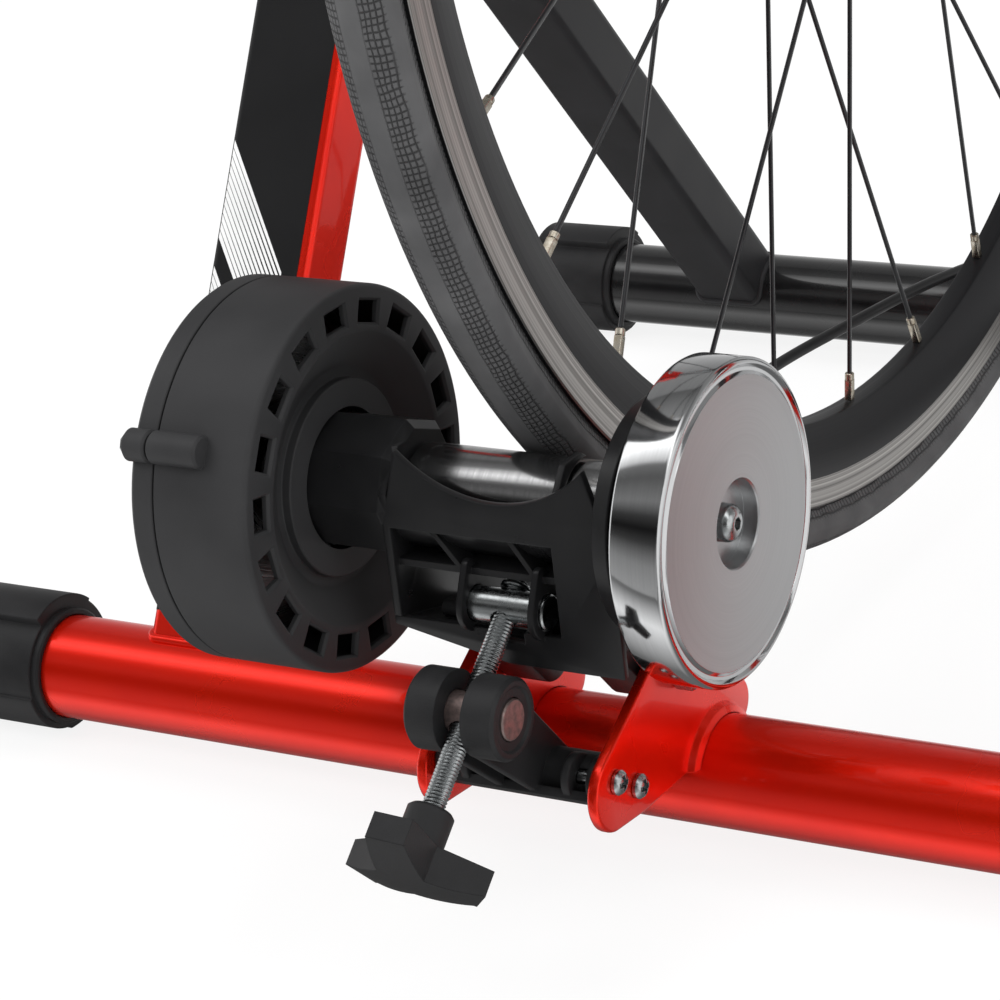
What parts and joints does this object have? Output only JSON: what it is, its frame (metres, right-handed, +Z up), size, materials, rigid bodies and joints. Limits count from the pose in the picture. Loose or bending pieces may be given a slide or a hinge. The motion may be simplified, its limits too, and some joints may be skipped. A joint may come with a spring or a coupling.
{
  "type": "wheel on turbo trainer",
  "caption": "Folding magnetic turbo trainer with a road bicycle wheel clamped at its axle and standing on the roller of the resistance unit.",
  "frame": {"origin": "on the floor, in the middle of the footprint", "axes": "+X across the bicycle to its drive side, +Y forward, +Z up"},
  "size_m": [0.578, 0.7471, 0.7053],
  "materials": {
    "red_lacquer": "candy red metallic lacquer, glossy",
    "black_lacquer": "black lacquer, glossy",
    "black_nylon": "moulded black nylon, satin",
    "drum_nylon": "moulded black nylon, matt",
    "cradle_nylon": "moulded black nylon, glossy",
    "zinc": "zinc plated steel",
    "plain_steel": "plain ground steel",
    "polished_steel": "polished steel",
    "chrome": "bright chrome plate with a satin face",
    "tyre_rubber": "black tyre rubber with a fine file tread",
    "tube_rubber": "black butyl rubber",
    "cable_sheath": "extruded black PVC sheath, glossy",
    "black_rim": "black anodised aluminium with machined brake tracks",
    "black_spoke": "black coated steel spokes and hub"
  },
  "bodies": {
    "rear_frame": {"rear_base_tube": "red_lacquer", "rear_leg_left": "red_lacquer", "rear_leg_right": "red_lacquer", "leg_plug_left": "black_nylon", "leg_plug_right": "black_nylon", "head_bracket_left": "red_lacquer", "head_bracket_right": "red_lacquer", "fold_bolt_left": "zinc", "fold_bolt_right": "zinc", "unit_plate_left": "red_lacquer", "unit_plate_right": "red_lacquer", "screw_bracket": "black_nylon", "bracket_screw_1": "zinc", "bracket_screw_2": "zinc", "bracket_screw_3": "zinc", "bracket_screw_4": "zinc", "unit_pivot_bolt": "zinc", "unit_pivot_nut": "zinc", "axle": "zinc", "cable_run": "cable_sheath", "cable_coil": "cable_sheath", "remote_housing": "black_nylon"},
    "front_frame": {"front_base_tube": "black_lacquer", "front_leg_left": "black_lacquer", "front_leg_right": "black_lacquer"},
    "rear_cap_left": {"rear_cap_left": "black_nylon"},
    "rear_cap_right": {"rear_cap_right": "black_nylon"},
    "front_cap_left": {"front_cap_left": "black_nylon"},
    "front_cap_right": {"front_cap_right": "black_nylon"},
    "wheel": {"tyre": "tyre_rubber", "inner_tube": "tube_rubber", "rim": "black_rim", "spoked_hub": "black_spoke"},
    "cassette": {"sprocket_cassette": "plain_steel"},
    "resistance_unit": {"unit_frame": "cradle_nylon", "drum_inner_shell": "drum_nylon", "drum_outer_shell": "drum_nylon", "drum_screw_1": "zinc", "drum_screw_2": "zinc", "drum_screw_3": "zinc", "bearing_left": "plain_steel", "bearing_right": "plain_steel", "bearing_cover": "drum_nylon", "cable_gland": "cable_sheath"},
    "magnet_ring": {"magnet_ring": "plain_steel"},
    "spindle": {"roller": "polished_steel", "roller_shaft": "plain_steel", "rotor_disc": "plain_steel", "flywheel": "chrome", "flywheel_screw": "zinc"},
    "upper_trunnion": {"upper_trunnion": "zinc"},
    "adjusting_screw": {"adjusting_screw": "zinc", "adjusting_knob": "black_nylon"},
    "lower_trunnion": {"lower_trunnion": "plain_steel"},
    "left_cup": {"clamp_cup_left": "zinc"},
    "left_clamp_screw": {"clamp_screw_left": "zinc", "clamp_knob_left": "black_nylon"},
    "right_plunger": {"clamp_plunger_right": "zinc"},
    "right_lever": {"clamp_lever_right": "black_lacquer"},
    "remote_arm": {"remote_arm": "black_nylon"}
  },
  "joints": [
    {"name": "front_frame_fold", "type": "hinge", "parent": "rear_frame", "child": "front_frame", "pos_m": [0, 0.00468, 0.31666], "axis": [-1, 0, 0], "range_deg": [0, 66]},
    {"name": "rear_cap_left_turn", "type": "hinge", "parent": "rear_frame", "child": "rear_cap_left", "pos_m": [-0.27, -0.19877, 0.02568], "axis": [1, 0, 0], "continuous": true},
    {"name": "rear_cap_right_turn", "type": "hinge", "parent": "rear_frame", "child": "rear_cap_right", "pos_m": [0.27, -0.19877, 0.02568], "axis": [1, 0, 0], "continuous": true},
    {"name": "front_cap_left_turn", "type": "hinge", "parent": "front_frame", "child": "front_cap_left", "pos_m": [-0.27, 0.25223, 0.02469], "axis": [1, 0, 0], "continuous": true},
    {"name": "front_cap_right_turn", "type": "hinge", "parent": "front_frame", "child": "front_cap_right", "pos_m": [0.27, 0.25223, 0.02469], "axis": [1, 0, 0], "continuous": true},
    {"name": "wheel_spin", "type": "hinge", "parent": "rear_frame", "child": "wheel", "pos_m": [0, 0.02113, 0.3703], "axis": [1, 0, 0], "continuous": true},
    {"name": "freewheel", "type": "hinge", "parent": "wheel", "child": "cassette", "pos_m": [0.039, 0.02113, 0.3703], "axis": [1, 0, 0], "continuous": true},
    {"name": "unit_swing", "type": "hinge", "parent": "rear_frame", "child": "resistance_unit", "pos_m": [0, -0.21887, 0.07468], "axis": [1, 0, 0], "range_deg": [0, 10]},
    {"name": "magnet_shift", "type": "hinge", "parent": "resistance_unit", "child": "magnet_ring", "pos_m": [-0.108, -0.24577, 0.1428], "axis": [1, 0, 0], "range_deg": [0, 30]},
    {"name": "spindle_spin", "type": "hinge", "parent": "resistance_unit", "child": "spindle", "pos_m": [0, -0.24577, 0.1428], "axis": [1, 0, 0], "continuous": true},
    {"name": "upper_trunnion_turn", "type": "hinge", "parent": "resistance_unit", "child": "upper_trunnion", "pos_m": [0, -0.26407, 0.1118], "axis": [1, 0, 0], "range_deg": [-16, 0]},
    {"name": "lower_trunnion_turn", "type": "hinge", "parent": "rear_frame", "child": "lower_trunnion", "pos_m": [0, -0.29517, 0.08788], "axis": [1, 0, 0], "range_deg": [-6, 0]},
    {"name": "screw_turn", "type": "hinge", "parent": "upper_trunnion", "child": "adjusting_screw", "pos_m": [0, -0.32304, 0.06644], "axis": [0, -0.7927, -0.6097], "range_deg": [0, 2746]},
    {"name": "left_cup_slide", "type": "slide", "parent": "rear_frame", "child": "left_cup", "axis": [-1, 0, 0], "range_m": [0, 0.01]},
    {"name": "left_clamp_turn", "type": "hinge", "parent": "left_cup", "child": "left_clamp_screw", "pos_m": [-0.2, 0.02113, 0.3703], "axis": [-1, 0, 0], "range_deg": [0, 1800]},
    {"name": "right_plunger_slide", "type": "slide", "parent": "rear_frame", "child": "right_plunger", "axis": [1, 0, 0], "range_m": [0, 0.0061]},
    {"name": "right_lever_turn", "type": "hinge", "parent": "rear_frame", "child": "right_lever", "pos_m": [0.22716, 0.02113, 0.3703], "axis": [0, -1, 0], "range_deg": [0, 100]},
    {"name": "remote_arm_turn", "type": "hinge", "parent": "rear_frame", "child": "remote_arm", "pos_m": [0.0174, 0.30185, 0.0165], "axis": [0, 0, 1], "range_deg": [0, 90]}
  ],
  "couplings": [
    {"joint": "spindle_spin", "follows": "wheel_spin", "ratio": -21.753},
    {"joint": "upper_trunnion_turn", "follows": "unit_swing", "ratio": -1.56},
    {"joint": "lower_trunnion_turn", "follows": "unit_swing", "ratio": -0.56},
    {"joint": "screw_turn", "follows": "unit_swing", "ratio": 274.4},
    {"joint": "left_clamp_turn", "follows": "left_cup_slide", "rad_per_m": 3141.5},
    {"joint": "magnet_shift", "follows": "remote_arm_turn", "ratio": 0.3333},
    {"joint": "right_lever_turn", "follows": "right_plunger_slide", "rad_per_m": 286.09}
  ]
}
